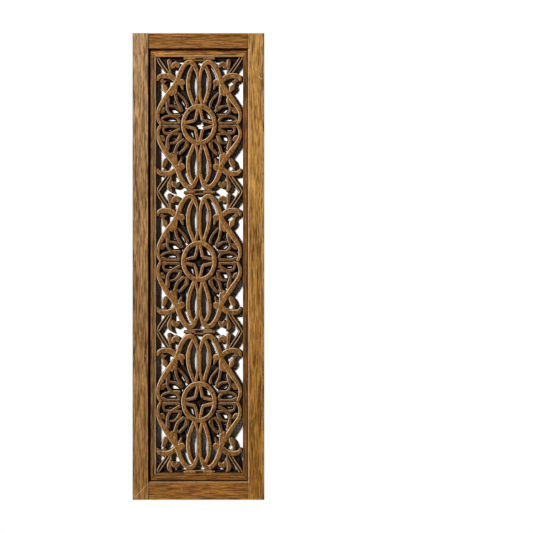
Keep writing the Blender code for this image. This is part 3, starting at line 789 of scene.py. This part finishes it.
def painted_light_fall_group():
    """Make painted light on a board: its colour changes slowly from lighter at the top to darker at the
    foot.
    """
    tree, given, result = new_group(
        "Fading",
        {"Colour": "Color", "Upper tint": "Color", "Lower tint": "Color"},
        {"Colour": "Color"})
    place = object_place(tree)
    cloud = figured("SUBTRACT", speckle(place, 6, 2), 0.5)
    height = figured("MULTIPLY_ADD", cloud, 0.8, parted(place)["Z"])
    height = ramped(height, PANEL_LOW.z, PANEL_HIGH.z)
    tint = mixed(height, given["Lower tint"], given["Upper tint"])
    feed(result["Colour"], mixed(1.0, given["Colour"], tint, "MULTIPLY"))
    return tree


def scratch_group():
    """Make a light scratch: a thin broken line with its start, turn about Y, length and half width."""
    tree, given, result = new_group(
        "Scratch",
        {"Colour": "Color", "Bare": "Color", "Start": "Vector", "Turn": "Vector", "Size": "Vector"},
        {"Colour": "Color"})
    place = object_place(tree)
    mapping = add_node(tree, "ShaderNodeMapping", {
        "Vector": place, "Location": given["Start"], "Rotation": given["Turn"], "Scale": given["Size"]
    }, vector_type="TEXTURE")
    along, _, across = parted(mapping.outputs[0])
    waver = figured("SUBTRACT", speckle(place, 90, 2), 0.5)
    across = figured("MULTIPLY_ADD", waver, 3.0, across)
    line = figured("SUBTRACT", 1.5, figured("ABSOLUTE", across))
    ends = figured("COMPARE", along, 0.5, 0.5)
    broken = ramped(speckle(place, 300, 2), 0.3, 0.5)
    line = figured("MULTIPLY", figured("MAXIMUM", line, 0.0), ends)
    depth = figured("MINIMUM", figured("MULTIPLY", line, broken), MOST_SCRATCHED)
    feed(result["Colour"], mixed(depth, given["Colour"], given["Bare"]))
    return tree


def board_wear_and_light_group():
    """Make the masks of a frame board's rubbed arrises and stained joints, and of its slopes' painted
    highlight and painted shade.
    """
    tree, given, result = new_group(
        "Board wear",
        {"Middle": "Vector", "Half size": "Vector", "Width": "Float", "Slope rubbed": "Float",
         "Slope stained": "Float", "Joint stained": "Float"},
        {"Rubbed": "Float", "Stained": "Float"})
    place = object_place(tree)
    reach = figured("ABSOLUTE", figured("SUBTRACT", place, given["Middle"]))
    x, y, z = parted(figured("SUBTRACT", given["Half size"], reach))
    least = figured("MINIMUM", figured("MINIMUM", x, y), z)
    most = figured("MAXIMUM", figured("MAXIMUM", x, y), z)
    total = figured("ADD", figured("ADD", x, y), z)
    middle = figured("SUBTRACT", figured("SUBTRACT", total, least), most)
    wobble = ramped(speckle(place, 120, 4, 0.6), 0.25, 0.75)
    width = figured("MULTIPLY", given["Width"], wobble)
    near = figured("SUBTRACT", 1.0, figured("DIVIDE", middle, width))
    facing = parted(tree.nodes.new("ShaderNodeNewGeometry").outputs["True Normal"])["Y"]
    # Painted highlight and painted shade: a sloped face is lightened or darkened by which way its board's
    # slope faces the light
    sloped = figured("COMPARE", facing, SLOPE_FACING, SLOPE_RANGE)
    flat = figured("SUBTRACT", 1.0, figured("MULTIPLY", sloped, given["Slope stained"]))
    rubbed = figured("MAXIMUM", figured("MULTIPLY", near, flat),
                     figured("MULTIPLY", sloped, given["Slope rubbed"]))
    joint = figured("SUBTRACT", 1.0, figured("DIVIDE", x, JOINT_REACH))
    stained = figured("MAXIMUM", figured("MULTIPLY", joint, given["Joint stained"]),
                      figured("MULTIPLY", sloped, given["Slope stained"]))
    feed(result["Rubbed"], figured("MAXIMUM", rubbed, 0.0))
    feed(result["Stained"], figured("MAXIMUM", stained, 0.0))
    return tree


def wear_and_painted_light_group():
    """Make the rubbing and stain over a wood colour, from two masks that also carry painted highlight and
    painted shade.
    """
    tree, given, result = new_group(
        "Rubbing and stain",
        {"Colour": "Color", "Rubbed": "Float", "Deep": "Float", "Bare": "Color", "Stain": "Color"},
        {"Colour": "Color"})
    place = object_place(tree)
    patches = ramped(speckle(place, 160, 4, 0.6), 0.22, 0.50)
    # Painted highlight rides on the rubbed mask and painted shade on the deep mask
    rubbed = figured("MINIMUM", figured("MULTIPLY", given["Rubbed"], patches), MOST_RUBBED)
    colour = mixed(rubbed, given["Colour"], given["Bare"])
    grime = ramped(speckle(place, 45, 3, 0.6), 0.35, 0.75)
    deep = ramped(figured("MULTIPLY_ADD", grime, 0.25, given["Deep"]), 0.12, 0.95)
    feed(result["Colour"], mixed(deep, colour, given["Stain"]))
    return tree


def opaque(colour):
    """Return a colour with full alpha."""
    return (*colour, 1.0)


def grouped(tree, name, maker, values):
    """Add a node group, which is made the first time, with its inputs, and return its outputs."""
    made = bpy.data.node_groups.get(name) or maker()
    return add_node(tree, "ShaderNodeGroup", values, node_tree=made).outputs


def wear_and_painted_light_masks(tree, board_wear_and_light):
    """Return masks of the rubbed and the deep places, with their painted highlight and painted shade, of
    a plain board or from a carved mesh.
    """
    if board_wear_and_light:
        return tuple(grouped(tree, "Board wear", board_wear_and_light_group, board_wear_and_light))
    return tuple(add_node(tree, "ShaderNodeAttribute", {}, attribute_name=title).outputs["Fac"]
                 for title in ("rub", "deep"))


def wood_material(name, along, shift, light_tints=None, board_wear_and_light=None, drawn=BOARD_DRAWN, bold=BOARD_BOLD):
    """Make a finished wood whose grain runs along an axis, worn and with painted light, as a plain board
    or as carving.
    """
    colours = bpy.context.scene.wood_colours
    bare = opaque(colours.rubbed)
    mean = getattr(colours, name)
    light, dark = (opaque(part * (1 + (share - 1) * bold) for part, share in zip(mean, shares))
                   for shares in (colours.light_figure, colours.dark_figure))
    material = bpy.data.materials.new(name)
    material.use_nodes = True
    tree = material.node_tree
    stretch = [1.0, 1.0, 1.0]
    stretch["XYZ".index(along)] = drawn
    mapping = add_node(tree, "ShaderNodeMapping", {
        "Vector": object_place(tree), "Location": shift, "Scale": stretch})
    figure = grouped(tree, "Wood figure", grain_group, {
        "Place": mapping.outputs[0], "Light": light, "Dark": dark, "Bare": bare})
    colour = figure["Colour"]
    # Painted light: lighter at the top, darker at the foot
    if light_tints:
        colour = grouped(tree, "Fading", painted_light_fall_group, {
            "Colour": colour, "Upper tint": opaque(light_tints[0]), "Lower tint": opaque(light_tints[1])})["Colour"]
    rubbed, deep = wear_and_painted_light_masks(tree, board_wear_and_light)
    colour = grouped(tree, "Rubbing and stain", wear_and_painted_light_group, {
        "Colour": colour, "Rubbed": rubbed, "Deep": deep, "Bare": bare,
        "Stain": opaque(colours.stain)})["Colour"]
    if name in SCRATCHES:
        start, turned, size = SCRATCHES[name]
        colour = grouped(tree, "Scratch", scratch_group, {
            "Colour": colour, "Bare": bare, "Start": start, "Size": size,
            "Turn": (0, math.radians(turned), 0)})["Colour"]
    bump = add_node(tree, "ShaderNodeBump", {
        "Height": figure["Height"], "Strength": GRAIN_RELIEF, "Distance": GRAIN_DEPTH})
    finish = {"Base Color": colour, "Roughness": figure["Shine"], "Normal": bump.outputs[0],
              "Specular IOR Level": FINISH_GLOSS}
    for socket, value in finish.items():
        feed(tree.nodes["Principled BSDF"].inputs[socket], value)
    return material


def plain_material(name, colour, roughness):
    """Make a stage surface with a faint unevenness."""
    material = bpy.data.materials.new(name)
    material.use_nodes = True
    tree = material.node_tree
    shader = tree.nodes["Principled BSDF"]
    shade = tuple(SHADE * part for part in colour)
    cloud = speckle(object_place(tree), 3.0)
    feed(shader.inputs["Base Color"], mixed(cloud, opaque(colour), opaque(shade)))
    shader.inputs["Roughness"].default_value = roughness
    return material


def new_piece(name, mesh, material):
    """Put a mesh in the scene as a piece of the panel."""
    piece = bpy.data.objects.new(name, mesh)
    bpy.context.scene.collection.objects.link(piece)
    mesh.materials.append(material)
    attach(piece, "root")
    return piece


def dress(node, material):
    """Give a carried-over solid its finished material."""
    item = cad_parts[node]
    item.data.materials.clear()
    item.data.materials.append(material)


class PANEL_OT_carve_board(bpy.types.Operator):
    """Carve the pierced board with its three medallions"""

    bl_idname = "wall_panel.carve_board"
    bl_label = "Carve the board"

    def execute(self, context):
        board = Carving(context.scene.carving_sizes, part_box("carved_panel"))
        top = PANEL_HIGH.z
        for number, (below, stretch) in enumerate(MEDALLIONS):
            carve_medallion(board, number, top - below, stretch)
            carve_collar(board, top - below - HALF_PITCH * stretch * MM)
        below, stretch = MEDALLIONS[0]
        carve_collar(board, top - below + HALF_PITCH * stretch * MM)
        carve_rim(board)
        wood = wood_material("carving", "Z", CARVING_SHIFT, drawn=CARVING_DRAWN, bold=CARVING_BOLD)
        piece = new_piece("carved_board", board.mesh("carved_board"), wood)
        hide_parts("carved_panel")
        return {"FINISHED"}


class PANEL_OT_finish_frame(bpy.types.Operator):
    """Finish the stiles and rails as old brown wood, with painted light on their slopes and down the
    stiles
    """

    bl_idname = "wall_panel.finish_frame"
    bl_label = "Finish the frame"

    def execute(self, context):
        # Each slope's rubbed share is painted highlight and its stained share is painted shade
        for number, (node, (rubbed, stained, width)) in enumerate(FRAME_WEAR_AND_PAINTED_LIGHT.items()):
            upright = node.endswith("stile")
            low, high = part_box(node)
            wear_and_light = {
                "Middle": (low + high) / 2,
                "Half size": (high - low) / 2,
                "Width": width,
                "Slope rubbed": rubbed,
                "Slope stained": stained,
                "Joint stained": 0.0 if upright else JOINT_STAIN,
            }
            shift = [part * number for part in FRAME_SHIFT]
            light_tints = STILE_PAINTED_LIGHT if upright else None
            dress(node, wood_material(node, "Z" if upright else "X", shift, light_tints, wear_and_light))
        return {"FINISHED"}


class PANEL_OT_run_mouldings(bpy.types.Operator):
    """Run the four mitred moulding strips round the board"""

    bl_idname = "wall_panel.run_mouldings"
    bl_label = "Run the mouldings"

    def execute(self, context):
        for number, (node, rubbed) in enumerate(MOULDINGS.items()):
            upright = node.startswith(("left", "right"))
            shift = [part * number for part in MOULDING_SHIFT]
            strip = Carving(context.scene.carving_sizes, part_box(node))
            strip.strip(*strip_lines(node), rubbed)
            wood = wood_material(node, "Z" if upright else "X", shift)
            name = node.replace("moulding", "strip")
            piece = new_piece(name, strip.mesh(name), wood)
            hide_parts(node)
        return {"FINISHED"}


def flat_sheet(name, corners, material):
    """Lay a flat four-cornered sheet."""
    mesh = bpy.data.meshes.new(name)
    mesh.from_pydata(corners, [], [(0, 1, 2, 3)])
    mesh.materials.append(material)
    sheet = bpy.data.objects.new(name, mesh)
    bpy.context.scene.collection.objects.link(sheet)


def area_light(name, place, target, size, power):
    """Hang a soft square light that faces a target."""
    data = bpy.data.lights.new(name, "AREA")
    data.size = size
    data.energy = power
    lamp = bpy.data.objects.new(name, data)
    bpy.context.scene.collection.objects.link(lamp)
    lamp.location = place
    lamp.rotation_euler = (Vector(target) - Vector(place)).to_track_quat("-Z", "Y").to_euler()


def bright_room(light):
    """Fill the room with even light in front of a white backdrop."""
    world = bpy.data.worlds.new("room")
    bpy.context.scene.world = world
    world.use_nodes = True
    tree = world.node_tree
    path = tree.nodes.new("ShaderNodeLightPath")
    seen = mixed(path.outputs["Is Camera Ray"], opaque(light), (1, 1, 1, 1))
    feed(tree.nodes["Background"].inputs["Color"], seen)


class PANEL_OT_set_stage(bpy.types.Operator):
    """Set the floor, the white card behind the openings, the lights and the camera"""

    bl_idname = "wall_panel.set_stage"
    bl_label = "Set the stage"

    def execute(self, context):
        sizes = context.scene.stage_sizes
        centre = (PANEL_LOW + PANEL_HIGH) / 2
        white = plain_material("Stage white", STAGE_WHITE, STAGE_ROUGHNESS)
        floor = PANEL_LOW.z - FLOOR_BELOW
        flat_sheet("stage_floor", [(-FLOOR_HALF, -FLOOR_HALF, floor), (FLOOR_HALF, -FLOOR_HALF, floor),
                                   (FLOOR_HALF, FLOOR_BEHIND, floor), (-FLOOR_HALF, FLOOR_BEHIND, floor)],
                   white)
        left, right = PANEL_LOW.x + CARD_MARGIN, PANEL_HIGH.x - CARD_MARGIN
        bottom, top = PANEL_LOW.z + CARD_MARGIN, PANEL_HIGH.z - CARD_MARGIN
        behind = PANEL_HIGH.y + CARD_GAP
        flat_sheet("stage_card", [(left, behind, bottom), (right, behind, bottom),
                                  (right, behind, top), (left, behind, top)], white)
        area_light("main light", centre + MAIN_LIGHT, centre, MAIN_WIDTH, sizes.key_power)
        area_light("back light", centre + BACK_LIGHT, centre, BACK_LIGHT_WIDTH, sizes.back_power)
        bright_room(sizes.room)
        data = bpy.data.cameras.new("camera")
        data.lens = data.sensor_width * sizes.distance / sizes.view_width
        camera = bpy.data.objects.new("camera", data)
        context.scene.collection.objects.link(camera)
        camera.location = (centre.x + sizes.aim_right, PANEL_LOW.y - sizes.distance, centre.z)
        camera.rotation_euler = (math.radians(90), 0, 0)
        context.scene.camera = camera
        context.scene.view_settings.view_transform = "Standard"
        return {"FINISHED"}


class PANEL_PT_sidebar(bpy.types.Panel):
    """Lists the panel's steps and sizes"""

    bl_label = "Carved wall panel"
    bl_idname = "PANEL_PT_sidebar"
    bl_space_type = "VIEW_3D"
    bl_region_type = "UI"
    bl_category = "Wall panel"

    def draw(self, context):
        for step in STEPS:
            self.layout.operator(step.bl_idname)
        for sizes in (context.scene.carving_sizes, context.scene.wood_colours, context.scene.stage_sizes):
            for title in sizes.bl_rna.properties.keys():
                if title not in ("rna_type", "name"):
                    self.layout.prop(sizes, title)


STEPS = (PANEL_OT_carve_board, PANEL_OT_finish_frame, PANEL_OT_run_mouldings, PANEL_OT_set_stage)
CLASSES = (CarvingSizes, WoodColours, StageSizes, *STEPS, PANEL_PT_sidebar)


def register():
    """Register the classes and hang their settings on the scene."""
    for item in CLASSES:
        bpy.utils.register_class(item)
    bpy.types.Scene.carving_sizes = PointerProperty(type=CarvingSizes)
    bpy.types.Scene.wood_colours = PointerProperty(type=WoodColours)
    bpy.types.Scene.stage_sizes = PointerProperty(type=StageSizes)


def unregister():
    """Take the settings and the classes away again."""
    del bpy.types.Scene.stage_sizes
    del bpy.types.Scene.wood_colours
    del bpy.types.Scene.carving_sizes
    for item in reversed(CLASSES):
        bpy.utils.unregister_class(item)


def main():
    """Build the whole scene."""
    register()
    bpy.ops.wall_panel.carve_board()
    bpy.ops.wall_panel.finish_frame()
    bpy.ops.wall_panel.run_mouldings()
    bpy.ops.wall_panel.set_stage()


if __name__ == "__main__":
    main()
